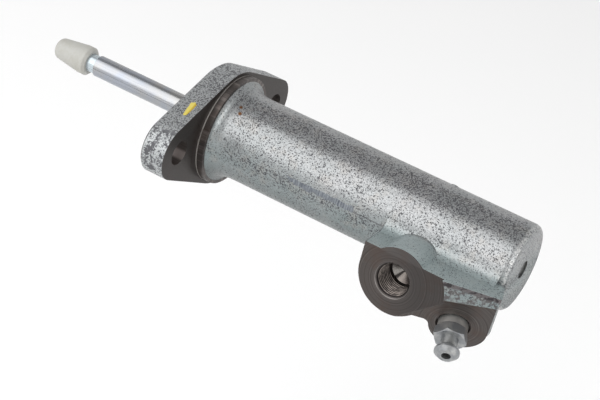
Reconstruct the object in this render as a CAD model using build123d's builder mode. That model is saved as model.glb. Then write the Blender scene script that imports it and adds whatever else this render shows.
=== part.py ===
"""Hydraulic clutch slave cylinder with a flange, a push rod and a bleed screw, in millimetres.

The cylinder axis is X, with the closed end at +X and the origin on the flange's machined face.
The flange's long side runs along Y, the hose port faces -Y, and Z is up.
"""

from build123d import *
from math import cos, pi, sin
import os

os.makedirs("parts", exist_ok=True)

# Cylinder
barrel_r = 15.8
barrel_end_x = 119.0
bore_r = 11.1
bore_end_x = 112.0
end_round = 2.2
end_mark_r = 3.2
end_mark_depth = 0.6

# Flange, a long oval with two straight sides
flange_t = 9.5
flange_mid_r = 21.7
flange_lobe_r = 10.2
bolt_pitch = 64.0
bolt_hole_r = 4.5
flange_edge = 0.9
register_r = 20.4
register_h = 2.8
flare_r = 18.9
flare_end_x = 12.0

# Block that carries the hose port and the bleed screw
port_x, port_z = 86.3, -9.2
port_face_y = -29.5
boss_top_r, boss_top_shift = 11.65, (1.0, 0.65)
boss_low_r, boss_low_shift = 13.45, (0.6, 1.25)
spot_r = 19.2
block_bottom_z = -17.9
rough_face_y = -30.5
rough_face_x = 103.9
block_right_x = 122.3
block_right_y = -24.9
side_lean = 2.4
end_lean = 0.3
blend_r = 5.0
blend_sink = 0.06
web_round = 2.5
port_thread_r = 6.0
port_drill_r = 5.4
port_mouth_r = 6.6
port_thread_depth = 10.4
port_depth = 11.2
feed_r = 1.5

# Bleed screw, leaning out towards the closed end and down
bleed_base = (109.15, -24.2, -17.0)
bleed_dir = (0.33, -0.864, -0.38)
bleed_boss_r = 9.85
bleed_boss_shift = (1.6, -1.25)
bleed_minor_r = 4.46
bleed_thread_r = 4.4
bleed_depth = 13.0
bleed_recess_r = 5.9
bleed_collar_r = 5.15
bleed_hex_af = 10.2
bleed_hex_from, bleed_hex_to = 2.6, 6.4
bleed_hex_turn = -18
bleed_neck_r = 2.95
bleed_barb_r = 4.3
bleed_barb_x = 11.4
bleed_tip = 13.0
bleed_bore_r = 1.6

# Piston, seals, spring and stops, in their rest places
clearance = 0.05
piston_r = bore_r - clearance
piston_x0, piston_len = -1.6, 26.0
rod_r = 4.0
rod_shoulder_x = -57.95
rod_neck_r = 3.45
rod_seat_x = 7.0
rod_dome_r = 5.0
cap_tip_x = -76.9
cap_rim_x = -61.5
cap_rim_r = 5.45
cap_side_x = -74.7
cap_tip_r = 4.1
spring_wire_r = 0.9
spring_coil_r = 7.6
spring_turns, spring_steps = 8, 14
spring_seat_t = 1.0
stop_t = 1.2
stop_hole_r = 7.0
ring_wire_r = 0.9
ring_gap_deg = 40
mouth_r, mouth_x = 13.2, -6.3
boot_lip_x, boot_lip_w = -14.0, 2.0
boot_r, boot_t = 9.0, 1.4
seal_groove_x, seal_groove_w, seal_groove_r = 18.6, 5.0, 7.8
seal_heel, seal_lip_t = 2.4, 1.2
pilot_r = 6.0
ring_seal_x, ring_seal_t = 5.0, 2.5


def lift(point, normal):
    """Plane through a point with its X kept as near the cylinder axis as it goes."""
    n = Vector(*normal).normalized()
    along = (Vector(1, 0, 0) - n * n.X).normalized()
    return Plane(origin=point, x_dir=along, z_dir=n)


bleed_plane = lift(bleed_base, bleed_dir)
port_plane = Plane(origin=(port_x, port_face_y, port_z), x_dir=(1, 0, 0), z_dir=(0, -1, 0))
side_plane = Plane(origin=(0, 0, 0), x_dir=(1, 0, 0), z_dir=(0, 0, -1))
flange_back = Plane.YZ.offset(-flange_t)
bleed_turn = Plane(
    origin=bleed_plane.origin, x_dir=bleed_plane.x_dir, z_dir=-bleed_plane.y_dir
)
block_left_x = port_x + boss_low_shift[0] - boss_low_r
# the rounding's arc dips a little below the ledge, so it meets the ledge and the boss at an angle
blend_z = blend_r - blend_sink
blend_y = ((barrel_r + blend_r) ** 2 - blend_z**2) ** 0.5
blend_foot = blend_y - (blend_r**2 - blend_z**2) ** 0.5
blend_start = (-blend_foot, 0)
blend_end = (-blend_y * barrel_r / (barrel_r + blend_r), blend_z * barrel_r / (barrel_r + blend_r))
boss_u, boss_v = bleed_boss_shift
web_u = boss_u - bleed_boss_r - web_round
web_v = (block_bottom_z - bleed_plane.origin.Z - web_u * bleed_plane.x_dir.Z) / bleed_plane.y_dir.Z
round_v = web_v - web_round
round_u = boss_u - ((bleed_boss_r + web_round) ** 2 - (round_v - boss_v) ** 2) ** 0.5
web_start = (round_u, web_v)
round_share = bleed_boss_r / (bleed_boss_r + web_round)
web_end = (boss_u + (round_u - boss_u) * round_share, boss_v + (round_v - boss_v) * round_share)
bore_groove_r = bore_r + ring_wire_r + 0.15
ring_x = piston_x0 - stop_t - ring_wire_r
piston_x1 = piston_x0 + piston_len
seal_x0, seal_x1 = seal_groove_x + 0.1, seal_groove_x + seal_groove_w - 0.4
spring_x0 = piston_x1 + spring_seat_t
rod_dome_x = rod_seat_x + rod_dome_r * cos(pi / 8)
rod_edge_x = rod_seat_x + (rod_dome_r**2 - rod_r**2) ** 0.5

# Cast block with the port boss, the web and the bleed boss, before machining
with BuildPart() as block:
    with BuildSketch(port_plane):
        with Locations(boss_low_shift):
            Circle(boss_low_r)
        with Locations((0, -port_z)):
            Rectangle(60, 30, align=(Align.CENTER, Align.MIN), mode=Mode.SUBTRACT)
        with Locations(boss_top_shift):
            Circle(boss_top_r)
        with BuildLine():
            Polyline(
                (block_left_x - port_x, boss_low_shift[1]),
                (block_left_x - port_x, -port_z),
                (block_right_x - port_x, -port_z),
                (block_right_x - side_lean - port_x, block_bottom_z - port_z),
                (boss_low_shift[0], block_bottom_z - port_z),
                close=True,
            )
        make_face()
    extrude(amount=4)
    extrude(block.faces().sort_by(Axis.Y)[-1], amount=-port_face_y - 4)
    with BuildSketch(side_plane):
        with BuildLine():
            Polyline(
                (block_left_x - 1.0, 3),
                (block_left_x, -port_face_y + 1.5),
                (rough_face_x - 5, -port_face_y + 1.5),
                (rough_face_x, -rough_face_y),
                (block_right_x, -block_right_y),
                (block_right_x - end_lean * (-block_right_y - 3), 3),
                close=True,
            )
        make_face()
    extrude(amount=40, both=True, mode=Mode.INTERSECT)
    with BuildSketch(bleed_plane):
        with Locations(bleed_boss_shift):
            Circle(bleed_boss_r)
        with BuildLine():
            Polyline(web_end, (boss_u, boss_v), (boss_u, web_v), web_start)
            RadiusArc(web_start, web_end, web_round)
        make_face()
    extrude(amount=-21)
    # hollow rounding where the barrel meets the block's top
    with BuildSketch(Plane.YZ.offset(block_left_x)):
        with BuildLine():
            Polyline(
                blend_start,
                (-blend_foot, -0.5),
                (-barrel_r / 2, -0.5),
                (-barrel_r / 2, blend_end[1]),
                blend_end,
            )
            RadiusArc(blend_end, blend_start, blend_r)
        make_face()
    extrude(amount=barrel_end_x - end_round - block_left_x)
    with BuildSketch(Plane.YZ.offset(60)):
        with BuildLine():
            Polyline((14, -15.6), (-1, -15.6), (-21, -31), (-21, -50), (14, -50), close=True)
        make_face()
    extrude(amount=80, mode=Mode.SUBTRACT)

# Casting with its machined faces, bore, port and bleed hole; short flats round off its closed end
end_centre_x, end_centre_r = barrel_end_x - end_round, barrel_r - end_round
end_points = [
    (end_centre_x + end_round * sin(turn), end_centre_r + end_round * cos(turn))
    for turn in (0, pi / 6, pi / 3, pi / 2)
]
with BuildPart() as body:
    with BuildSketch(Plane.XY):
        with BuildLine():
            Polyline((0, 0), (0, register_r), (register_h, register_r), (register_h, flare_r))
            Spline(
                (register_h, flare_r),
                (flare_end_x, barrel_r),
                tangents=((0.45, -1), (1, 0)),
            )
            Polyline((flare_end_x, barrel_r), *end_points, (barrel_end_x, 0), (0, 0))
        make_face()
    revolve(axis=Axis.X)
    add(block.part)
    with BuildSketch(flange_back):
        Circle(flange_mid_r)
        with Locations((bolt_pitch / 2, 0), (-bolt_pitch / 2, 0)):
            Circle(flange_lobe_r)
        make_hull()
    extrude(amount=flange_t)
    chamfer(body.faces().sort_by(Axis.X)[0].outer_wire().edges(), flange_edge)
    # port face and bleed face
    with BuildSketch(port_plane):
        Circle(spot_r)
    extrude(amount=6, mode=Mode.SUBTRACT)
    with BuildSketch(bleed_plane):
        Rectangle(60, 60)
    extrude(amount=12, mode=Mode.SUBTRACT)
    # bolt holes
    with BuildSketch(flange_back):
        with Locations((bolt_pitch / 2, 0), (-bolt_pitch / 2, 0)):
            Circle(bolt_hole_r)
    extrude(amount=flange_t, mode=Mode.SUBTRACT)
    # bore with the ring groove and the boot's seat
    with BuildSketch(Plane.XY):
        with BuildLine():
            Polyline(
                (-flange_t, 0),
                (-flange_t, mouth_r),
                (mouth_x, mouth_r),
                (mouth_x, bore_r),
                (ring_x - ring_wire_r - 0.05, bore_r),
                (ring_x - ring_wire_r - 0.05, bore_groove_r),
                (ring_x + ring_wire_r + 0.05, bore_groove_r),
                (ring_x + ring_wire_r + 0.05, bore_r),
                (bore_end_x, bore_r),
                (bore_end_x, 0),
                close=True,
            )
        make_face()
    revolve(axis=Axis.X, mode=Mode.SUBTRACT)
    # shallow round mark in the closed end
    with BuildSketch(Plane.YZ.offset(barrel_end_x)):
        Circle(end_mark_r)
    extrude(amount=-end_mark_depth, mode=Mode.SUBTRACT)
    # hose port: mouth chamfer, thread bore, drill point and feed hole
    with BuildSketch(Plane(origin=port_plane.origin, x_dir=(1, 0, 0), z_dir=(0, 0, 1))):
        with BuildLine():
            Polyline(
                (0, -0.5),
                (port_mouth_r + 0.5, -0.5),
                (port_thread_r, port_mouth_r - port_thread_r),
                (port_thread_r, port_thread_depth),
                (port_drill_r, port_thread_depth),
                (port_drill_r, port_depth),
                (0, port_depth + port_drill_r * 0.6),
                close=True,
            )
        make_face()
    revolve(axis=Axis(port_plane.origin, (0, 1, 0)), mode=Mode.SUBTRACT)
    with BuildSketch(port_plane.offset(-port_depth)):
        Circle(feed_r)
    extrude(amount=-14, mode=Mode.SUBTRACT)
    # bleed hole: recess, thread bore, seat and passage
    with BuildSketch(bleed_plane):
        Circle(bleed_recess_r)
    extrude(amount=-1.6, mode=Mode.SUBTRACT)
    with BuildSketch(bleed_plane):
        Circle(bleed_minor_r)
    extrude(amount=-bleed_depth, mode=Mode.SUBTRACT)
    with BuildSketch(bleed_plane.offset(-bleed_depth)):
        Circle(feed_r)
    extrude(amount=-9, mode=Mode.SUBTRACT)
body.part.label = "body"
export_step(body.part, "parts/body.step")

# Hexagon of the bleed screw, with its corners turned off at both ends
hex_corner_r = bleed_hex_af / 3**0.5
with BuildPart() as hexagon:
    with BuildSketch(bleed_plane.offset(bleed_hex_from)):
        RegularPolygon(bleed_hex_af / 2, 6, major_radius=False, rotation=bleed_hex_turn)
    extrude(amount=bleed_hex_to - bleed_hex_from)
    with BuildSketch(bleed_turn):
        with BuildLine():
            Polyline(
                (0, bleed_hex_from),
                (bleed_hex_af / 2 - 0.2, bleed_hex_from),
                (hex_corner_r + 0.1, bleed_hex_from + 0.55),
                (hex_corner_r + 0.1, bleed_hex_to - 0.55),
                (bleed_hex_af / 2 - 0.2, bleed_hex_to),
                (0, bleed_hex_to),
                close=True,
            )
        make_face()
    revolve(axis=Axis(bleed_plane.origin, bleed_plane.z_dir), mode=Mode.INTERSECT)

# Bleed screw, turned and drilled, with its hexagon and a hose barb
with BuildPart() as bleed_screw:
    with BuildSketch(bleed_turn):
        with BuildLine():
            Polyline(
                (0, -bleed_depth + 0.4),
                (1.6, -bleed_depth + 0.4),
                (bleed_thread_r, -bleed_depth + 3.2),
                (bleed_thread_r, -1.2),
                (bleed_collar_r, -1.2),
                (bleed_collar_r, bleed_hex_from),
                (bleed_neck_r, bleed_hex_from),
                (bleed_neck_r, bleed_barb_x - 1.9),
                (bleed_barb_r, bleed_barb_x - 0.4),
                (bleed_barb_r, bleed_barb_x + 0.3),
                (bleed_neck_r, bleed_tip),
                (0, bleed_tip),
                close=True,
            )
        make_face()
    revolve(axis=Axis(bleed_plane.origin, bleed_plane.z_dir))
    add(hexagon.part)
    with BuildSketch(bleed_plane.offset(bleed_tip)):
        Circle(bleed_bore_r)
    extrude(amount=-(bleed_tip + bleed_depth - 4.5), mode=Mode.SUBTRACT)
bleed_screw.part.label = "bleed_screw"
export_step(bleed_screw.part, "parts/bleed_screw.step")

# Push rod with a blunt domed end in the piston and a thin neck for the cap
with BuildPart() as push_rod:
    with BuildSketch(Plane.XY):
        with BuildLine():
            Polyline(
                (rod_dome_x, 0),
                (cap_rim_x - 8.5, 0),
                (cap_rim_x - 8.5, rod_neck_r),
                (rod_shoulder_x - 0.4, rod_neck_r),
                (rod_shoulder_x, rod_r),
                (rod_edge_x, rod_r),
                (rod_seat_x + rod_dome_r * cos(pi / 4), rod_dome_r * sin(pi / 4)),
                (rod_dome_x, rod_dome_r * sin(pi / 8)),
                close=True,
            )
        make_face()
    revolve(axis=Axis.X)
push_rod.part.label = "push_rod"
export_step(push_rod.part, "parts/push_rod.step")

# Moulded cap on the rod's tip
with BuildPart() as rod_cap:
    with BuildSketch(Plane.XY):
        with BuildLine():
            Polyline(
                (cap_tip_x + 3.0, 0),
                (cap_rim_x - 8.8, 0),
                (cap_rim_x - 8.8, rod_neck_r + clearance),
                (cap_rim_x, rod_neck_r + clearance),
                (cap_rim_x, cap_rim_r - 0.9),
                (cap_rim_x - 0.9, cap_rim_r),
                (cap_rim_x - 3.6, cap_rim_r),
                (cap_side_x, cap_tip_r),
            )
            Spline(
                (cap_side_x, cap_tip_r),
                (cap_tip_x, 0),
                tangents=((cap_side_x - cap_rim_x + 3.6, cap_tip_r - cap_rim_r), (0, -1)),
            )
            Line((cap_tip_x, 0), (cap_tip_x + 3.0, 0))
        make_face()
    revolve(axis=Axis.X)
rod_cap.part.label = "rod_cap"
export_step(rod_cap.part, "parts/rod_cap.step")

# Piston with a ball socket behind and a spring pilot ahead
with BuildPart() as piston:
    with BuildSketch(Plane.XY):
        with BuildLine():
            Polyline(
                (piston_x0, 0),
                (piston_x0, piston_r),
                (ring_seal_x - ring_seal_t / 2, piston_r),
                (ring_seal_x - ring_seal_t / 2, piston_r - ring_seal_t),
                (ring_seal_x + ring_seal_t / 2, piston_r - ring_seal_t),
                (ring_seal_x + ring_seal_t / 2, piston_r),
                (seal_groove_x, piston_r),
                (seal_groove_x, seal_groove_r),
                (seal_groove_x + seal_groove_w, seal_groove_r),
                (seal_groove_x + seal_groove_w, piston_r - 1.2),
                (piston_x1, piston_r - 1.2),
                (piston_x1, pilot_r),
                (piston_x1 + 4.0, pilot_r),
                (piston_x1 + 4.0, 0),
                close=True,
            )
        make_face()
    revolve(axis=Axis.X)
    # socket: open behind, with a 45 degree cone that the rod's dome sits on
    socket_r = rod_dome_r + clearance
    cone_x = rod_seat_x + 2**0.5 * socket_r
    with BuildSketch(Plane.XY):
        with BuildLine():
            Polyline(
                (piston_x0, 0),
                (piston_x0, socket_r),
                (cone_x - socket_r, socket_r),
                (cone_x - 1.6, 1.6),
                (cone_x - 1.6, 0),
                close=True,
            )
        make_face()
    revolve(axis=Axis.X, mode=Mode.SUBTRACT)
piston.part.label = "piston"
export_step(piston.part, "parts/piston.step")

# Lip seal on the piston, open towards the fluid
with BuildPart() as piston_cup:
    with BuildSketch(Plane.XY):
        with BuildLine():
            Polyline(
                (seal_x0, seal_groove_r + 0.02),
                (seal_x0, bore_r - 0.03),
                (seal_x1, bore_r - 0.03),
                (seal_x1, bore_r - seal_lip_t),
                (seal_x0 + seal_heel, bore_r - seal_lip_t - 0.4),
                (seal_x0 + seal_heel, seal_groove_r + 0.02),
                close=True,
            )
        make_face()
    revolve(axis=Axis.X)
piston_cup.part.label = "piston_cup"
export_step(piston_cup.part, "parts/piston_cup.step")

# Square ring seal behind it
with BuildPart() as piston_ring_seal:
    with BuildSketch(Plane.XY):
        with Locations((ring_seal_x, piston_r - ring_seal_t / 2)):
            Rectangle(ring_seal_t - 0.1, ring_seal_t - 0.04)
    revolve(axis=Axis.X)
piston_ring_seal.part.label = "piston_ring_seal"
export_step(piston_ring_seal.part, "parts/piston_ring_seal.step")

# Dished seat between the piston and the spring
with BuildPart() as spring_seat:
    with BuildSketch(Plane.YZ.offset(piston_x1)):
        Circle(piston_r - 1.4)
        Circle(pilot_r + 0.1, mode=Mode.SUBTRACT)
    extrude(amount=spring_seat_t)
spring_seat.part.label = "spring_seat"
export_step(spring_seat.part, "parts/spring_seat.step")

# Spring from the seat to the closed end, its coils as short straight lengths
spring_length = bore_end_x - spring_x0 - 2 * spring_wire_r
coil_points = [
    (
        spring_x0 + spring_wire_r + spring_length * step / (spring_turns * spring_steps),
        spring_coil_r * cos(2 * pi * step / spring_steps),
        spring_coil_r * sin(2 * pi * step / spring_steps),
    )
    for step in range(spring_turns * spring_steps + 1)
]
with BuildPart() as spring:
    with BuildLine():
        coil = Polyline(*coil_points)
    with BuildSketch(Plane(origin=coil @ 0, x_dir=(0, 1, 0), z_dir=coil % 0)):
        Rectangle(1.8 * spring_wire_r, 1.8 * spring_wire_r)
    sweep(path=coil, transition=Transition.RIGHT)
spring.part.label = "spring"
export_step(spring.part, "parts/spring.step")

# Stop washer and the open ring that holds it
with BuildPart() as stop_washer:
    with BuildSketch(Plane.YZ.offset(piston_x0 - stop_t)):
        Circle(piston_r)
        Circle(stop_hole_r, mode=Mode.SUBTRACT)
    extrude(amount=stop_t)
stop_washer.part.label = "stop_washer"
export_step(stop_washer.part, "parts/stop_washer.step")

with BuildPart() as retaining_ring:
    with BuildSketch(Plane.XY):
        with Locations((ring_x, bore_groove_r - ring_wire_r - 0.03)):
            Rectangle(2 * ring_wire_r - 0.04, 2 * ring_wire_r - 0.04)
    revolve(axis=Axis.X, revolution_arc=360 - ring_gap_deg)
retaining_ring.part.label = "retaining_ring"
export_step(retaining_ring.part, "parts/retaining_ring.step")

# Rubber dust boot in the mouth of the bore
with BuildPart() as dust_boot:
    with BuildSketch(Plane.XY):
        with BuildLine():
            Polyline(
                (mouth_x - 0.05, mouth_r - 0.05),
                (mouth_x - 0.05, boot_r),
                (boot_lip_x + boot_lip_w, rod_r + boot_t),
                (boot_lip_x + boot_lip_w, rod_r + clearance),
                (boot_lip_x, rod_r + clearance),
                (boot_lip_x, rod_r + boot_t),
                (-flange_t - 0.8, boot_r + 0.6),
                (-flange_t - 0.8, mouth_r + 0.8),
                (-flange_t, mouth_r + 0.8),
                (-flange_t, mouth_r - 0.05),
                close=True,
            )
        make_face()
    revolve(axis=Axis.X)
dust_boot.part.label = "dust_boot"
export_step(dust_boot.part, "parts/dust_boot.step")
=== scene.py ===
"""Looks of a clutch slave cylinder: plated iron casting, bare machined faces, bright rod and moulded cap."""

from math import cos, pi, radians, sin

import bmesh
import bpy
from mathutils import Matrix, Vector


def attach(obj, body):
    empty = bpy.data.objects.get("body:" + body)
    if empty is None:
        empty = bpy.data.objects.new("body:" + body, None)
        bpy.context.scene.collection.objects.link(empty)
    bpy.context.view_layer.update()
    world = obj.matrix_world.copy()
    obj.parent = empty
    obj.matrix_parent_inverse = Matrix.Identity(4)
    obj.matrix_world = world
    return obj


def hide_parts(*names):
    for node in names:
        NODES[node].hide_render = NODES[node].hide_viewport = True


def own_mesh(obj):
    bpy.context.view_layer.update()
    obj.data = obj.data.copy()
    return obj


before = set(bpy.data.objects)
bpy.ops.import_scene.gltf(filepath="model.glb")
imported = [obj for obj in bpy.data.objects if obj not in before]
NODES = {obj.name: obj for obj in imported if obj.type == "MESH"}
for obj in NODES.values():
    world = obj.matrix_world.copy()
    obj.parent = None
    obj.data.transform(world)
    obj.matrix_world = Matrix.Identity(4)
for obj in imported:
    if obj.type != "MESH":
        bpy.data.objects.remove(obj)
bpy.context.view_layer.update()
MM = 0.001

# Barrel and flange, in the row frame
BARREL_R = 15.8 * MM
BARREL_END = 119.0 * MM
BORE_MASK_R, BORE_MASK_END = 14.0 * MM, 113.0 * MM
REGISTER_R, REGISTER_H, FLARE_R = 20.4 * MM, 2.8 * MM, 18.9 * MM
FLANGE_T = 9.5 * MM
FLANGE_SIDE = Vector((0, -0.369, 0.929))
FLANGE_SIDE_DOWN = Vector((0, -0.929, -0.369))
BOLT_OFF, BOLT_HOLE_R = 32.0 * MM, 4.5 * MM
END_MARK_R = 3.25 * MM

# Block with the hose port and the bleed screw
BLOCK_LEFT = 73.45 * MM
PORT = Vector((86.3, -29.5, -9.2)) * MM
PORT_OUT = Vector((0, -1, 0))
PORT_FACE_R, PORT_MOUTH_R, PORT_CHAMFER_R = 19.4 * MM, 6.85 * MM, 6.3 * MM
PORT_DEPTH, DRILL_POINT_DEPTH = 17.0 * MM, 11.15 * MM
BLEED = Vector((109.15, -24.2, -17.0)) * MM
BLEED_OUT = Vector((0.33, -0.864, -0.38)).normalized()
BLEED_FACE_START = 88.0 * MM
BLEED_HOLE_R, BLEED_DEPTH = 6.1 * MM, 14.0 * MM
BLEED_COLLAR_TOP = 2.6 * MM

# Marks, and painted shade, on the casting
LOBE_START, LOBE_FULL = 33.0 * MM, 38.0 * MM
LEDGE_START, LEDGE_R = 70.0 * MM, 18.2 * MM
UNDERSIDE_TOP, UNDERSIDE_LOW = 6.0 * MM, -3.0 * MM
DEEP_SHADE_TOP, DEEP_SHADE_LOW = -5.0 * MM, -12.5 * MM
PORT_SIDE_Y = -15.0 * MM
JOINT_Z, JOINT_HALF_H = 0.15 * MM, 0.22 * MM
JOINT_X, JOINT_HALF_L = 42.0 * MM, 30.5 * MM
FILED_Z, FILED_HALF_H = 0.7 * MM, 0.95 * MM
FILED_X, FILED_HALF_L = 47.5 * MM, 14.0 * MM
STRIP_START, STRIP_Y, STRIP_TOP, STRIP_LOW = 103.5 * MM, -23.5 * MM, -0.1 * MM, -7.0 * MM
RIDGE_LOW, RIDGE_HIGH = -1.9 * MM, -1.3 * MM
DAB_START, DAB_END, DAB_X = 14.6 * MM, 22.3 * MM, -3.5 * MM
DAB_HALF_W, DAB_NARROWING, DAB_SLANT = 0.95 * MM, 0.35 * MM, 0.30 * MM
RUST_SPOTS = Vector((7.0, -8.0, 13.6)) * MM, Vector((8.1, -9.9, 12.3)) * MM
RUST_R, RUST_CORE_R = 0.95 * MM, 0.45 * MM
NUB = Vector((86.0, 5.0, 14.95)) * MM
NUB_LEAN = radians(-18.5)

# Moving pieces
ROD_SHOULDER = -57.95 * MM
ROD_SWAY = 2.95 * MM
SPRING_START, SPRING_END, STROKE = 25.4, 112.0, 35.0

# A hair either side of a face, to find it by its place
HAIR = 0.06 * MM


def rgb(r, g, b):
    return (r, g, b, 1.0)


# Bare iron
IRON_DARK, IRON_PALE = rgb(0.038, 0.032, 0.030), rgb(0.102, 0.090, 0.084)
IRON_STAIN = rgb(0.070, 0.050, 0.042)
PORT_FACE_SHADE = rgb(0.028, 0.026, 0.026)
FLANGE_FACE_SHADE = rgb(0.026, 0.021, 0.019)
HOLE_HIGHLIGHT = rgb(0.210, 0.180, 0.170)
CONE_SIDE, CONE_HIGHLIGHT = rgb(0.190, 0.168, 0.152), rgb(0.440, 0.415, 0.390)
CONE_DIM_SHADE, CONE_SHADE, CONE_SHADE_LINE = rgb(0.120, 0.102, 0.094), rgb(0.090, 0.075, 0.068), rgb(0.035, 0.030, 0.028)
CHAMFER_IRON = rgb(0.17, 0.157, 0.15)
FOOT_HIGHLIGHT = rgb(0.58, 0.55, 0.52)
REGISTER_SHEEN = rgb(0.200, 0.175, 0.162)
THREAD_DULL, THREAD_BRIGHT = rgb(0.090, 0.078, 0.070), rgb(0.310, 0.268, 0.240)
THREAD_ROOT_SHADE = rgb(0.012, 0.010, 0.010)

# Zinc on the casting, what marks it, and its painted light and shade
ZINC_NEUTRAL, ZINC_TEAL = rgb(0.390, 0.393, 0.397), rgb(0.232, 0.276, 0.276)
ZINC_WARM, ZINC_DEEP_SHADE = rgb(0.380, 0.350, 0.315), rgb(0.122, 0.138, 0.136)
ZINC_SPECKLE = rgb(0.160, 0.165, 0.170)
LEDGE_LIT_ZINC = rgb(0.355, 0.425, 0.430)
FLANGE_ZINC, LOBE_ZINC = rgb(0.350, 0.362, 0.366), rgb(0.430, 0.445, 0.450)
PIT_DARK = rgb(0.050, 0.048, 0.056)
RIM_DARK = rgb(0.030, 0.028, 0.030)
JOINT_DARK_AND_CREASE_SHADE = rgb(0.070, 0.070, 0.075)
FILED_DARK, FILED_PALE = rgb(0.10, 0.11, 0.13), rgb(0.24, 0.26, 0.28)
SCAB_BROWN = rgb(0.105, 0.098, 0.098)
RIDGE_PALE, RIDGE_DARK = rgb(0.120, 0.110, 0.112), rgb(0.040, 0.036, 0.038)
EDGE_WORN = rgb(0.58, 0.58, 0.57)
PAINT_YELLOW, PAINT_RIM_SHADE = rgb(0.62, 0.51, 0.10), rgb(0.42, 0.29, 0.01)
RUST = rgb(0.15, 0.065, 0.025)
END_MARK_DARK = rgb(0.10, 0.095, 0.09)

# Rod and screw
PLATE_BLUE, PLATE_STRAW = rgb(0.355, 0.378, 0.425), rgb(0.400, 0.396, 0.392)
PLATE_STREAK, PLATE_DARK_REFLECTION = rgb(0.220, 0.230, 0.245), rgb(0.060, 0.062, 0.070)
NECK_PAINTED_LIGHT = rgb(0.520, 0.600, 0.640)
SCREW_DULL, SCREW_PALE = rgb(0.250, 0.258, 0.268), rgb(0.370, 0.374, 0.368)
COLLAR_PALE = rgb(0.520, 0.515, 0.495)


# Shader nodes, written as sums
class Tree:
    """A material's node tree, with short calls for the maths that its patterns need."""

    def __init__(self, name):
        self.material = bpy.data.materials.new(name)
        self.material.use_nodes = True
        self.nodes = self.material.node_tree.nodes
        self.links = self.material.node_tree.links
        self.shader = self.nodes["Principled BSDF"]
        self.place = self.nodes.new("ShaderNodeTexCoord").outputs["Object"]

    def feed(self, socket, value):
        if isinstance(value, bpy.types.NodeSocket):
            self.links.new(value, socket)
        else:
            socket.default_value = value

    def maths(self, operation, a, b=0.0, c=0.0, clamp=False):
        node = self.nodes.new("ShaderNodeMath")
        node.operation, node.use_clamp = operation, clamp
        for socket, value in zip(node.inputs, (a, b, c)):
            self.feed(socket, value)
        return node.outputs[0]

    def plus(self, a, b):
        return self.maths("ADD", a, b)

    def minus(self, a, b):
        return self.maths("SUBTRACT", a, b)

    def times(self, a, b):
        return self.maths("MULTIPLY", a, b)

    def size(self, value):
        return self.maths("ABSOLUTE", value)

    def above(self, value, limit):
        return self.maths("GREATER_THAN", value, limit)

    def below(self, value, limit):
        return self.maths("LESS_THAN", value, limit)

    def near(self, value, at, reach):
        """One within reach of a value, and zero beyond it."""
        return self.below(self.size(self.minus(value, at)), reach)

    def both(self, *masks):
        result = masks[0]
        for mask in masks[1:]:
            result = self.times(result, mask)
        return result

    def either(self, *masks):
        result = masks[0]
        for mask in masks[1:]:
            result = self.maths("MAXIMUM", result, mask)
        return result

    def vector(self, operation, a, b=(0, 0, 0), scale=None):
        node = self.nodes.new("ShaderNodeVectorMath")
        node.operation = operation
        self.feed(node.inputs[0], a)
        self.feed(node.inputs[1], b)
        if scale is not None:
            self.feed(node.inputs["Scale"], scale)
        return node.outputs["Value" if operation in ("DOT_PRODUCT", "LENGTH", "DISTANCE") else "Vector"]

    def along(self, vector, way):
        return self.vector("DOT_PRODUCT", vector, tuple(way))

    def about(self, centre, axis):
        """Distance of each point from an axis, and its height along it."""
        arm = self.vector("SUBTRACT", self.place, tuple(centre))
        height = self.along(arm, axis)
        foot = self.vector("SCALE", tuple(axis), scale=height)
        return self.vector("LENGTH", self.vector("SUBTRACT", arm, foot)), height

    def split(self, vector):
        node = self.nodes.new("ShaderNodeSeparateXYZ")
        self.feed(node.inputs[0], vector)
        return node.outputs

    def join(self, x, y, z):
        node = self.nodes.new("ShaderNodeCombineXYZ")
        for socket, value in zip(node.inputs, (x, y, z)):
            self.feed(socket, value)
        return node.outputs[0]

    def ramp(self, value, low, high, to_low=0.0, to_high=1.0, smooth=False):
        """Goes from one amount to the other as the value goes from low to high, and stays there beyond."""
        node = self.nodes.new("ShaderNodeMapRange")
        node.interpolation_type = "SMOOTHSTEP" if smooth else "LINEAR"
        for socket, entry in zip(node.inputs, (value, low, high, to_low, to_high)):
            self.feed(socket, entry)
        return node.outputs[0]

    def mix(self, share, a, b):
        node = self.nodes.new("ShaderNodeMix")
        node.data_type = "RGBA"
        self.feed(node.inputs["Factor"], share)
        self.feed(node.inputs[6], a)
        self.feed(node.inputs[7], b)
        return node.outputs[2]

    def noise(self, vector, scale, detail=2.0, roughness=0.5, distortion=0.0):
        """Noise from 0 to 1, with its scale in grains to the metre."""
        node = self.nodes.new("ShaderNodeTexNoise")
        self.feed(node.inputs["Vector"], vector)
        self.feed(node.inputs["Scale"], scale)
        self.feed(node.inputs["Detail"], detail)
        self.feed(node.inputs["Roughness"], roughness)
        self.feed(node.inputs["Distortion"], distortion)
        return node.outputs["Fac"]

    def bump(self, height, distance):
        node = self.nodes.new("ShaderNodeBump")
        self.feed(node.inputs["Height"], height)
        self.feed(node.inputs["Distance"], distance)
        self.feed(node.inputs["Strength"], 1.0)
        return node.outputs[0]

    def set(self, **sockets):
        for name, value in sockets.items():
            self.feed(self.shader.inputs[name.replace("_", " ")], value)


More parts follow.
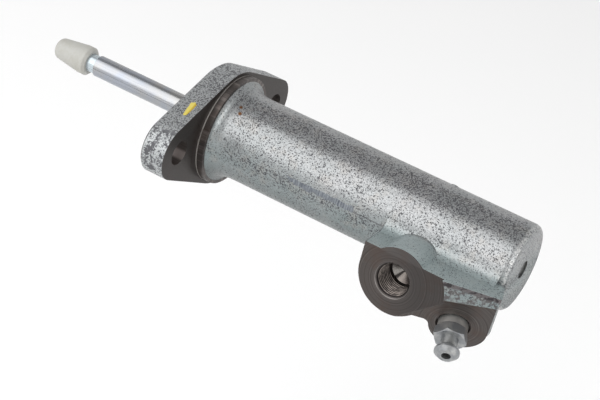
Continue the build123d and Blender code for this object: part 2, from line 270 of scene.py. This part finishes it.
class Casting(Tree):
    """The casting's material: bare iron where a tool has cut, and pitted, marked zinc on the rest."""

    def __init__(self):
        super().__init__("zinc plated casting")
        self.measure()
        self.find_cuts()
        rings = self.tool_rings()
        pits = self.pits()
        dab, paint = self.paint_dab()

        plated = self.mix(self.times(pits, 0.88), self.plating(), PIT_DARK)
        plated = self.mix(self.rim_line(), plated, RIM_DARK)
        plated = self.mould_joint(plated)
        plated = self.rough_strip(plated)
        plated = self.mix(self.times(self.worn_edge(), 0.7), plated, EDGE_WORN)
        plated = self.mix(dab, plated, paint)
        plated = self.rust_spots(plated)
        # The round mark in the closed end is painted darker.
        plated = self.mix(self.times(self.end_mark(), 0.65), plated, END_MARK_DARK)

        uncut = self.minus(1.0, self.cut)
        rough_plate = self.ramp(pits, 0.0, 1.0, 0.29, 0.55)
        rough_cut = self.ramp(self.drill_point, 0.0, 1.0, 0.40, 0.24)
        rough = self.maths("MULTIPLY_ADD", rough_plate, uncut, self.times(self.cut, rough_cut))
        metal = self.maths("MULTIPLY_ADD", self.either(self.ledge, self.on_flange), -0.32, 0.74)
        metal = self.maths("MULTIPLY_ADD", dab, -0.7, metal)
        self.set(Base_Color=self.mix(self.cut, plated, self.bare_iron(rings)), Metallic=metal, Roughness=rough)

        grain = self.noise(self.place, 1050.0, 4.0, 0.65)
        lumps = self.noise(self.place, 170.0, 3.0, 0.55)
        skin = self.maths("MULTIPLY_ADD", grain, 0.75, self.times(lumps, 1.1))
        skin = self.times(self.maths("MULTIPLY_ADD", pits, -0.35, skin), uncut)
        height = self.plus(skin, self.times(self.times(rings, self.cut), 0.16))
        self.set(Normal=self.bump(height, 0.14 * MM))

    def measure(self):
        """Distances, regions and slow patterns that several of the marks share."""
        self.x, self.y, self.z = self.split(self.place)
        self.axis_r, _ = self.about((0, 0, 0), (1, 0, 0))
        self.port_r, self.port_h = self.about(PORT, PORT_OUT)
        self.bleed_r, self.bleed_h = self.about(BLEED, BLEED_OUT)
        self.from_hole = self.join(0.0, self.minus(self.size(self.y), BOLT_OFF), self.z)
        self.arm = self.vector("NORMALIZE", self.join(0.0, self.y, self.z))
        self.on_flange = self.below(self.x, -0.1 * MM)
        self.lobe = self.ramp(self.size(self.y), LOBE_START, LOBE_FULL)
        self.pad = self.both(self.above(self.axis_r, BARREL_R + 0.3 * MM), self.above(self.x, REGISTER_H))
        self.ledge = self.both(
            self.ramp(self.axis_r, BARREL_R + 0.1 * MM, LEDGE_R, smooth=True),
            self.ramp(self.z, -0.5 * MM, 0.0),
            self.above(self.x, LEDGE_START),
        )
        self.drift = self.noise(self.place, 110.0, 3.0, 0.6)
        self.ragged = self.times(self.minus(self.noise(self.place, 420.0), 0.5), 2.6 * MM)

    def find_cuts(self):
        """Faces and holes where a tool has cut through the plating."""
        self.flange_face = self.both(self.near(self.x, 0.0, HAIR), self.above(self.axis_r, REGISTER_R - HAIR))
        self.register = self.both(
            self.above(self.x, -HAIR),
            self.below(self.x, REGISTER_H + HAIR),
            self.below(self.axis_r, REGISTER_R + HAIR),
            self.above(self.axis_r, FLARE_R + 0.25 * MM),
        )
        self.bolt_holes = self.both(
            self.below(self.vector("LENGTH", self.from_hole), BOLT_HOLE_R + 0.1 * MM),
            self.near(self.x, -FLANGE_T / 2, FLANGE_T / 2 + 0.1 * MM),
        )
        self.port_face = self.both(self.near(self.port_h, 0.0, HAIR), self.below(self.port_r, PORT_FACE_R))
        self.port_hole = self.both(
            self.below(self.port_r, PORT_MOUTH_R),
            self.below(self.port_h, HAIR),
            self.above(self.port_h, -PORT_DEPTH),
        )
        self.drill_point = self.both(self.port_hole, self.below(self.port_h, -DRILL_POINT_DEPTH))
        self.bleed_face = self.both(self.near(self.bleed_h, 0.0, HAIR), self.above(self.x, BLEED_FACE_START))
        self.bleed_hole = self.both(
            self.below(self.bleed_r, BLEED_HOLE_R),
            self.below(self.bleed_h, HAIR),
            self.above(self.bleed_h, -BLEED_DEPTH),
        )
        bore = self.both(self.below(self.axis_r, BORE_MASK_R), self.below(self.x, BORE_MASK_END))
        self.cut = self.either(
            self.flange_face,
            self.register,
            self.bolt_holes,
            self.port_face,
            self.port_hole,
            self.bleed_face,
            self.bleed_hole,
            bore,
        )

    def tool_rings(self):
        """Fine rings, uneven in depth, about the axis of the tool that cut each face."""
        on_port = self.either(self.port_face, self.port_hole)
        on_bleed = self.either(self.bleed_face, self.bleed_hole)
        elsewhere = self.minus(1.0, self.either(on_port, on_bleed))
        result = 0.0
        for radius, fineness, seed, mask in (
            (self.port_r, 2100.0, 5.0, on_port),
            (self.bleed_r, 1700.0, 9.0, on_bleed),
            (self.axis_r, 5200.0, 1.0, elsewhere),
        ):
            rings = self.noise(self.join(self.times(radius, fineness), seed, 0.0), 1.0, 3.0, 0.6)
            result = self.maths("MULTIPLY_ADD", rings, mask, result)
        return result

    def bare_iron(self, rings):
        """Dark brown-grey machined iron, with stains, and painted light and shade on each cut face."""
        stain = self.noise(self.place, 150.0, 4.0, 0.6)
        iron = self.mix(self.ramp(rings, 0.36, 0.64), IRON_DARK, IRON_PALE)
        iron = self.mix(self.ramp(stain, 0.48, 0.75), iron, IRON_STAIN)

        from_port = self.vector("SUBTRACT", self.place, tuple(PORT))
        fan = self.ramp(self.along(from_port, (1, 0, 0.3)), -6.0 * MM, 9.0 * MM, 0.0, 0.5)
        iron = self.mix(self.times(fan, self.port_face), iron, PORT_FACE_SHADE)
        iron = self.mix(self.times(self.flange_face, 0.80), iron, FLANGE_FACE_SHADE)
        # Painted highlight: a bright streak down one side of each bolt hole's wall.
        hole_way = self.vector("NORMALIZE", self.from_hole)
        streak = self.ramp(self.along(hole_way, (0.0, -0.839, -0.545)), 0.90, 0.97)
        iron = self.mix(self.both(self.bolt_holes, streak), iron, HOLE_HIGHLIGHT)
        iron = self.mix(self.drill_point, iron, self.drill_cone())

        chamfer = self.both(
            self.port_hole, self.above(self.port_r, PORT_CHAMFER_R), self.below(self.port_h, -0.03 * MM)
        )
        iron = self.mix(chamfer, iron, CHAMFER_IRON)
        # Painted highlight: a thin bright line round the foot of the register.
        foot = self.both(
            self.near(self.x, 0.22 * MM, 0.20 * MM), self.near(self.axis_r, REGISTER_R, 0.09 * MM)
        )
        iron = self.mix(foot, iron, FOOT_HIGHLIGHT)
        sheen = self.noise(self.vector("SCALE", self.arm, scale=7.0), 1.0, 4.0, 0.7)
        return self.mix(self.both(self.register, self.ramp(sheen, 0.50, 0.66)), iron, REGISTER_SHEEN)

    def drill_cone(self):
        """Drill point at the port's end: a painted highlight to one side, painted shade to the other, and a
        painted dark line between.
        """
        across = self.vector("SUBTRACT", self.join(self.x, 0.0, self.z), (PORT.x, 0.0, PORT.z))
        lit = self.along(self.vector("NORMALIZE", across), (-0.83, 0.0, 0.55))
        cone = self.mix(self.ramp(lit, 0.05, 0.20), CONE_SIDE, CONE_HIGHLIGHT)
        cone = self.mix(self.ramp(lit, 0.40, 0.95), cone, CONE_DIM_SHADE)
        cone = self.mix(self.ramp(lit, -0.35, -0.75), cone, CONE_SHADE)
        return self.mix(self.ramp(self.size(lit), 0.16, 0.08), cone, CONE_SHADE_LINE)

    def plating(self):
        """Zinc: neutral on the barrel, blue-green on the block, the flare and in clouds, blue-green and darker
        on the underside, partly as painted shade, with painted shade towards the bottom and painted light on the
        ledge.
        """
        cloud = self.noise(self.place, 70.0, 4.0, 0.6)
        # The underside's blue-green is partly its tint and partly painted shade.
        underside = self.ramp(self.z, UNDERSIDE_TOP, UNDERSIDE_LOW)
        off_barrel = self.ramp(self.axis_r, BARREL_R + 0.1 * MM, 18.5 * MM)
        teal_and_shade = self.maths("MULTIPLY_ADD", underside, 0.7, self.ramp(cloud, 0.35, 0.70, 0.0, 0.35))
        teal_and_shade = self.maths("MULTIPLY_ADD", off_barrel, 0.3, teal_and_shade, clamp=True)
        zinc = self.mix(teal_and_shade, ZINC_NEUTRAL, ZINC_TEAL)
        warm = self.ramp(self.noise(self.place, 230.0, 3.0, 0.6), 0.50, 0.68)
        zinc = self.mix(self.times(warm, 0.35), zinc, ZINC_WARM)
        # Painted shade: the zinc darkens towards the bottom.
        zinc = self.mix(self.ramp(self.z, DEEP_SHADE_TOP, DEEP_SHADE_LOW, 0.0, 0.9), zinc, ZINC_DEEP_SHADE)
        speckle = self.noise(self.place, 1500.0, 2.0, 0.6)
        zinc = self.mix(self.ramp(speckle, 0.30, 0.70, 0.45, 0.0), zinc, ZINC_SPECKLE)
        # Blue zinc on the up-facing ledge, painted paler as light.
        zinc = self.mix(self.times(self.ledge, 0.55), zinc, LEDGE_LIT_ZINC)
        flange_zinc = self.mix(self.lobe, FLANGE_ZINC, LOBE_ZINC)
        return self.mix(self.times(self.on_flange, 0.85), zinc, flange_zinc)

    def pits(self):
        """Dark pits, thickest along the upper front of the barrel and on the flange."""
        round_side = self.near(self.x, BARREL_END / 2, BARREL_END / 2 - 0.3 * MM)
        front = self.ramp(self.along(self.arm, (0.0, -0.37, 0.929)), 0.925, 0.99, smooth=True)
        top = self.ramp(self.along(self.arm, (0.0, 0.45, 0.893)), 0.50, 0.90, smooth=True)
        mid_height = self.ramp(self.size(self.plus(self.z, 1.5 * MM)), 3.5 * MM, 1.0 * MM)
        density = self.ramp(self.drift, 0.3, 0.7, 0.30, 0.50)
        for region, more in (
            (self.times(front, round_side), 0.25),
            (self.times(top, round_side), 0.05),
            (self.on_flange, self.ramp(self.lobe, 0.0, 1.0, 0.26, 0.12)),
            (self.pad, -0.10),
            (self.above(self.x, BARREL_END - 0.1 * MM), 0.12),
            (mid_height, 0.14),
        ):
            density = self.maths("MULTIPLY_ADD", region, more, density)
        fine = self.pitted(density, 2000.0, 0.035)
        coarse = self.times(self.pitted(self.minus(density, 0.16), 1000.0, 0.03), 0.85)
        patches = self.ramp(self.noise(self.place, 520.0, 3.0, 0.6, 0.5), 0.52, 0.56)
        return self.either(fine, coarse, self.both(self.on_flange, self.lobe, patches))

    def pitted(self, density, scale, softness):
        """Ragged pits: the share of the skin that they take grows with the density, 0 to 1."""
        pit = self.noise(self.place, scale, 3.0, 0.62, 0.4)
        level = self.ramp(density, 0.0, 1.0, 0.70, 0.44)
        return self.ramp(self.minus(pit, level), -softness, softness)

    def rim_line(self):
        """Dark line along the flange's rear edge."""
        on_edge = self.near(self.x, 0.36 * MM - FLANGE_T, 0.30 * MM)
        return self.times(on_edge, self.ramp(self.drift, 0.30, 0.55, 0.55, 0.95))

    def mould_joint(self, plated):
        """Joint of the mould along the port side, filed flat for a stretch, and painted shade in the crease at
        the block's left edge.
        """
        on_side = self.below(self.y, PORT_SIDE_Y)
        line_z = self.plus(self.z, self.times(self.ragged, 0.35))
        joint = self.both(
            on_side, self.near(line_z, JOINT_Z, JOINT_HALF_H), self.near(self.x, JOINT_X, JOINT_HALF_L)
        )
        joint = self.times(joint, self.ramp(self.x, 14.0 * MM, 50.0 * MM, 0.3, 1.0))
        # Painted shade along the crease where the block's left edge meets the barrel.
        corner = self.both(self.near(self.x, BLOCK_LEFT, 0.25 * MM), self.above(self.z, -0.8 * MM), self.pad)
        plated = self.mix(self.times(self.either(joint, corner), 0.6), plated, JOINT_DARK_AND_CREASE_SHADE)
        filed = self.both(
            on_side,
            self.near(self.plus(self.z, self.ragged), FILED_Z, FILED_HALF_H),
            self.near(self.plus(self.x, self.times(self.ragged, 3.0)), FILED_X, FILED_HALF_L),
        )
        strokes = self.noise(self.join(self.times(self.x, 1500.0), 3.0, self.times(self.z, 200.0)), 1.0)
        return self.mix(filed, plated, self.mix(self.ramp(strokes, 0.35, 0.65), FILED_DARK, FILED_PALE))

    def rough_strip(self, plated):
        """Rough cast strip beside the spot face, with a dark ridge along its top."""
        strip = self.both(
            self.above(self.x, STRIP_START),
            self.below(self.y, STRIP_Y),
            self.below(self.z, STRIP_TOP),
            self.above(self.z, STRIP_LOW),
        )
        scab = self.ramp(self.noise(self.place, 620.0, 3.0, 0.6, 0.6), 0.47, 0.58)
        ridge = self.ramp(self.plus(self.z, self.times(self.ragged, 0.6)), RIDGE_LOW, RIDGE_HIGH)
        plated = self.mix(self.both(strip, scab), plated, SCAB_BROWN)
        return self.mix(self.both(strip, ridge), plated, self.mix(scab, RIDGE_PALE, RIDGE_DARK))

    def worn_edge(self):
        """Bright worn edge round the closed end."""
        edge = self.both(
            self.ramp(self.x, BARREL_END - 1.9 * MM, BARREL_END - 1.3 * MM),
            self.ramp(self.axis_r, 14.3 * MM, 14.8 * MM),
            self.below(self.axis_r, BARREL_R + 0.1 * MM),
        )
        return self.times(edge, self.ramp(self.noise(self.place, 1300.0, 3.0, 0.6), 0.46, 0.54))

    def paint_dab(self):
        """Dab of yellow marking paint on the flange's upper side, and its colour, with painted shadow along its
        lower rim.
        """
        wobble = self.times(self.minus(self.noise(self.place, 500.0), 0.5), 1.2 * MM)
        length = self.plus(self.along(self.place, FLANGE_SIDE_DOWN), wobble)
        share = self.ramp(length, DAB_START, DAB_END, -1.0, 1.0)
        fullness = self.minus(1.0, self.times(share, share))
        widest = self.maths("MULTIPLY_ADD", share, -DAB_NARROWING, DAB_HALF_W)
        width = self.maths("MINIMUM", self.times(fullness, 2.6 * MM), widest)
        centre = self.maths("MULTIPLY_ADD", share, DAB_SLANT, DAB_X)
        off_centre = self.size(self.minus(self.plus(self.x, self.times(wobble, 0.5)), centre))
        on_side = self.above(self.along(self.place, FLANGE_SIDE), 19.0 * MM)
        # Painted shadow along the dab's lower rim.
        lower_rim_shade = self.ramp(self.minus(self.x, centre), 0.15 * MM, 0.65 * MM)
        return self.both(self.below(off_centre, width), on_side), self.mix(lower_rim_shade, PAINT_YELLOW, PAINT_RIM_SHADE)

    def rust_spots(self, plated):
        """Two rust spots on the flare."""
        for spot in RUST_SPOTS:
            away = self.vector("DISTANCE", self.place, tuple(spot))
            plated = self.mix(self.ramp(away, RUST_R, RUST_CORE_R), plated, RUST)
        return plated

    def end_mark(self):
        """Round mark in the closed end, painted darker."""
        return self.both(self.above(self.x, BARREL_END - 0.7 * MM), self.below(self.axis_r, END_MARK_R))


def mottled(name, dull, pale, metallic, rough, depth, grain=(1100.0, 1100.0, 1100.0)):
    """Two close shades in clouds, with a fine grain that can be drawn out into the marks of a tool."""
    t = Tree(name)
    marks = t.noise(t.join(*map(t.times, t.split(t.place), grain)), 1.0, 3.0, 0.6)
    clouds = t.noise(t.place, 150.0, 3.0, 0.6)
    share = t.ramp(t.maths("MULTIPLY_ADD", marks, 0.4, t.times(clouds, 0.6)), 0.40, 0.60)
    t.set(Base_Color=t.mix(share, dull, pale), Metallic=metallic)
    t.set(Roughness=t.ramp(marks, 0.35, 0.65, *rough), Normal=t.bump(marks, depth))
    return t.material


def thread_iron():
    """Machined iron, bright on the crests of the thread, with painted shade in the roots between them."""
    t = Tree("thread iron")
    port_r, _ = t.about(PORT, PORT_OUT)
    patch = t.ramp(t.noise(t.place, 480.0, 3.0, 0.6), 0.40, 0.60)
    bright = t.mix(patch, THREAD_DULL, THREAD_BRIGHT)
    # Painted shade in the roots of the thread.
    root = t.ramp(port_r, 5.52 * MM, 5.72 * MM)
    t.set(Base_Color=t.mix(root, bright, THREAD_ROOT_SHADE), Metallic=0.85, Roughness=0.32)
    return t.material


def bright_plate():
    """Bright plate, faintly streaked along the rod, with a blue and straw tinge in clouds, a painted dark
    reflection line along its lower side, and painted light on the neck.
    """
    t = Tree("bright plate")
    x, y, z = t.split(t.place)
    streak = t.noise(t.join(t.times(x, 45.0), t.times(y, 1900.0), t.times(z, 1900.0)), 1.0, 3.0, 0.6)
    tinge = t.noise(t.place, 120.0)
    plate = t.mix(t.ramp(tinge, 0.40, 0.62), PLATE_BLUE, PLATE_STRAW)
    plate = t.mix(t.ramp(streak, 0.35, 0.65, 0.28, 0.0), plate, PLATE_STREAK)
    # Painted reflection: a thin dark line along the rod's lower side.
    line_z = t.maths("MULTIPLY_ADD", x, 0.004, z)
    dark_reflection_line = t.both(t.near(line_z, -0.05 * MM, 0.09 * MM), t.below(y, 0.0))
    plate = t.mix(t.times(dark_reflection_line, t.ramp(tinge, 0.35, 0.60, 0.35, 0.75)), plate, PLATE_DARK_REFLECTION)
    # Painted light: the neck is painted paler and made less metallic.
    neck = t.below(x, ROD_SHOULDER - 0.2 * MM)
    plate = t.mix(t.times(neck, 0.7), plate, NECK_PAINTED_LIGHT)
    t.set(Base_Color=plate, Metallic=t.ramp(neck, 0.0, 1.0, 1.0, 0.7))
    t.set(Roughness=t.ramp(streak, 0.35, 0.65, 0.31, 0.24), Normal=t.bump(streak, 0.006 * MM))
    return t.material


def screw_zinc():
    """Satin zinc, paler on the collar below the hexagon."""
    t = Tree("satin zinc")
    _, up = t.about(BLEED, BLEED_OUT)
    collar = t.ramp(up, BLEED_COLLAR_TOP + 0.02 * MM, BLEED_COLLAR_TOP - 0.05 * MM)
    worn = t.ramp(t.noise(t.place, 330.0, 4.0, 0.6), 0.42, 0.62)
    zinc = t.mix(worn, SCREW_DULL, SCREW_PALE)
    t.set(Base_Color=t.mix(collar, zinc, COLLAR_PALE), Metallic=0.85, Roughness=0.34)
    t.set(Normal=t.bump(t.noise(t.place, 900.0, 3.0, 0.6), 0.02 * MM))
    return t.material


def dress(material, *nodes):
    for node in nodes:
        mesh = NODES[node].data
        mesh.materials.clear()
        mesh.materials.append(material)


zinc_cast = Casting().material
nylon = mottled(
    "off-white nylon",
    dull=rgb(0.370, 0.362, 0.326),
    pale=rgb(0.410, 0.408, 0.384),
    metallic=0.0,
    rough=(0.41, 0.49),
    depth=0.012 * MM,
)
alloy = mottled(
    "turned alloy",
    dull=rgb(0.50, 0.51, 0.51),
    pale=rgb(0.66, 0.67, 0.67),
    metallic=0.9,
    rough=(0.30, 0.42),
    depth=0.01 * MM,
    grain=(4000.0, 60.0, 60.0),
)
rubber = mottled(
    "black rubber",
    dull=rgb(0.008, 0.008, 0.009),
    pale=rgb(0.017, 0.017, 0.018),
    metallic=0.0,
    rough=(0.68, 0.82),
    depth=0.03 * MM,
)
steel = mottled(
    "plain steel",
    dull=rgb(0.26, 0.26, 0.27),
    pale=rgb(0.42, 0.42, 0.43),
    metallic=0.9,
    rough=(0.34, 0.48),
    depth=0.01 * MM,
)
dress(zinc_cast, "body")
dress(screw_zinc(), "bleed_screw")
dress(bright_plate(), "push_rod")
dress(nylon, "rod_cap")
dress(alloy, "piston")
dress(rubber, "piston_cup", "piston_ring_seal", "dust_boot")
dress(steel, "spring", "spring_seat", "stop_washer", "retaining_ring")


def show(name, data):
    """Puts an object of a mesh, lamp or camera into the scene."""
    item = bpy.data.objects.new(name, data)
    bpy.context.scene.collection.objects.link(item)
    return item


def add_piece(name, bm, material, body, smooth=True):
    """Makes an object of a bmesh built in place, and lets it ride on a body."""
    bmesh.ops.recalc_face_normals(bm, faces=bm.faces)
    mesh = bpy.data.meshes.new(name)
    bm.to_mesh(mesh)
    bm.free()
    for face in mesh.polygons:
        face.use_smooth = smooth
    mesh.materials.append(material)
    piece = show(name, mesh)
    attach(piece, body)
    return piece


def outline_ring(bm, corners):
    """Closed outline of corners, as the vertices and edges that a spin takes."""
    verts = [bm.verts.new(corner) for corner in corners]
    return verts + [bm.edges.new(pair) for pair in zip(verts, verts[1:] + verts[:1])]


def wind(bm, corners, axis, centre, advance, turns, steps):
    """Spins a closed outline along a helix, with some steps to each turn, and closes its two ends."""
    bmesh.ops.spin(
        bm,
        geom=outline_ring(bm, corners),
        cent=centre,
        axis=axis,
        dvec=Vector(axis) * advance / steps,
        angle=2 * pi * turns,
        steps=turns * steps,
    )
    bmesh.ops.holes_fill(bm, edges=[edge for edge in bm.edges if edge.is_boundary], sides=0)


def port_thread():
    """Right-handed ridge that winds down the port's wall as its thread."""
    bm = bmesh.new()
    pitch, turns, first_turn = 1.0, 9, 1.1
    crest_r, wall_r = 5.5, 6.04
    crest, root = 0.07, 0.45
    ridge = ((root, wall_r), (crest, crest_r), (-crest, crest_r), (-root, wall_r))
    corners = [PORT + Vector((r, first_turn - off, 0)) * MM for off, r in ridge]
    wind(bm, corners, (0, 1, 0), PORT, pitch * MM, turns, 48)
    add_piece("port_thread_ridge", bm, thread_iron(), "cylinder", smooth=False)


def coil_spring():
    """Round wire spring from the piston's seat to the closed end."""
    bm = bmesh.new()
    wire_r, coil_r, turns, sides = 0.9, 7.6, 8, 12
    angles = [2 * pi * side / sides for side in range(sides)]
    corners = [
        Vector((SPRING_START + wire_r + wire_r * cos(angle), coil_r + wire_r * sin(angle), 0)) * MM
        for angle in angles
    ]
    pitch = (SPRING_END - SPRING_START - 2 * wire_r) / turns
    wind(bm, corners, (1, 0, 0), (0, 0, 0), pitch * MM, turns, 40)
    piece = add_piece("coil_spring", bm, steel, "cylinder")
    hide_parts("spring")
    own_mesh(piece)


def rubber_boot():
    """Dust boot in the bore's mouth: a folded disc, and a lip wide enough for the rod's swing at full stroke."""
    bm = bmesh.new()
    outline = (
        (-6.35, 13.15),
        (-6.35, 9.0),
        (-12.0, 5.5),
        (-12.0, 4.15),
        (-14.0, 4.15),
        (-14.0, 5.5),
        (-10.3, 9.3),
        (-10.3, 10.2),
        (-9.3, 10.7),
        (-9.3, 11.6),
        (-10.3, 12.1),
        (-10.3, 14.0),
        (-9.5, 14.0),
        (-9.5, 13.15),
    )
    ring = outline_ring(bm, [(x * MM, r * MM, 0) for x, r in outline])
    bmesh.ops.spin(bm, geom=ring, cent=(0, 0, 0), axis=(1, 0, 0), angle=2 * pi, steps=64, use_merge=True)

    def runs_round(edge):
        first, last = (vert.co for vert in edge.verts)
        return abs(first.x - last.x) < 1e-7 and abs(first.yz.length - last.yz.length) < 1e-7

    rounds = [edge for edge in bm.edges if runs_round(edge)]
    bmesh.ops.bevel(bm, geom=rounds, offset=0.22 * MM, segments=2, profile=0.5, affect="EDGES", material=-1)
    lip_start, lip_blend = -10.4 * MM, 1.4 * MM
    for vert in bm.verts:
        share = min(max((lip_start - vert.co.x) / lip_blend, 0.0), 1.0)
        if abs(vert.co.y) > 0.01 * MM:
            vert.co.y += share * ROD_SWAY * (1 if vert.co.y > 0 else -1)
    piece = add_piece("rubber_boot", bm, rubber, "cylinder")
    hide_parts("dust_boot")


def casting_nub():
    """Small lump left on the top of the barrel."""
    bm = bmesh.new()
    bmesh.ops.create_uvsphere(bm, u_segments=16, v_segments=8, radius=1.0)
    lie = Matrix.Translation(NUB) @ Matrix.Rotation(NUB_LEAN, 4, "X")
    bm.transform(lie @ Matrix.Diagonal((1.5 * MM, 0.7 * MM, 0.45 * MM, 1.0)))
    add_piece("casting_nub", bm, zinc_cast, "cylinder")


port_thread()
coil_spring()
rubber_boot()
casting_nub()


def photo_camera():
    """Camera where the photograph was taken from."""
    data = bpy.data.cameras.new("camera")
    data.lens, data.sensor_width = 102.0, 36.0
    data.clip_start, data.clip_end = 0.05, 20.0
    place = Vector((247.335, -492.437, 261.593)) * MM
    right = Vector((0.84012693, 0.49158883, 0.22918804))
    down = Vector((0.41147532, -0.30235374, -0.85980828))
    ahead = Vector((-0.35337629, 0.81665331, -0.45629219))
    camera = show("camera", data)
    camera.matrix_world = Matrix.Translation(place) @ Matrix((right, -down, -ahead)).transposed().to_4x4()
    bpy.context.scene.camera = camera


def pale_floor():
    """Pale floor well below the part."""
    mesh = bpy.data.meshes.new("floor")
    bm = bmesh.new()
    bmesh.ops.create_grid(bm, x_segments=1, y_segments=1, size=12.0)
    bm.transform(Matrix.Translation((0, 0, -0.16)))
    bm.to_mesh(mesh)
    bm.free()
    paint = Tree("pale floor")
    paint.set(Base_Color=rgb(0.85, 0.85, 0.85), Metallic=0.0, Roughness=0.9)
    paint.set(Emission_Color=rgb(1, 1, 1), Emission_Strength=0.14)
    mesh.materials.append(paint.material)
    floor = show("floor", mesh)


def softbox(name, place, size, power):
    """Large rectangular lamp that faces the middle of the part."""
    data = bpy.data.lights.new(name, "AREA")
    data.shape, data.energy = "RECTANGLE", power
    data.size, data.size_y = size
    lamp = show(name, data)
    lamp.location = place
    lamp.rotation_euler = (Vector((0.03, 0, 0)) - Vector(place)).to_track_quat("-Z", "Y").to_euler()


def studio_walls():
    """Walls that are lighter low down than overhead."""
    world = bpy.data.worlds.new("studio")
    bpy.context.scene.world = world
    world.use_nodes = True
    nodes, links = world.node_tree.nodes, world.node_tree.links
    place = nodes.new("ShaderNodeTexCoord").outputs["Generated"]
    split = nodes.new("ShaderNodeSeparateXYZ")
    links.new(place, split.inputs[0])
    fade = nodes.new("ShaderNodeMapRange")
    fade.interpolation_type = "SMOOTHSTEP"
    for name, value in (("From Min", 0.68), ("From Max", 0.90), ("To Min", 0.80), ("To Max", 0.30)):
        fade.inputs[name].default_value = value
    links.new(split.outputs[2], fade.inputs[0])
    links.new(fade.outputs[0], nodes["Background"].inputs["Strength"])
    nodes["Background"].inputs["Color"].default_value = rgb(1, 1, 1)


photo_camera()
pale_floor()
# The bright stripe on the metal mirrors the front softbox, and the dark one the dim space overhead
softbox("front", (-0.44, -0.94, 0.80), (2.0, 1.75), 18.5)
softbox("side", (1.2, -0.35, 0.5), (0.7, 0.9), 5.0)
studio_walls()
bpy.context.scene.view_settings.view_transform = "Standard"
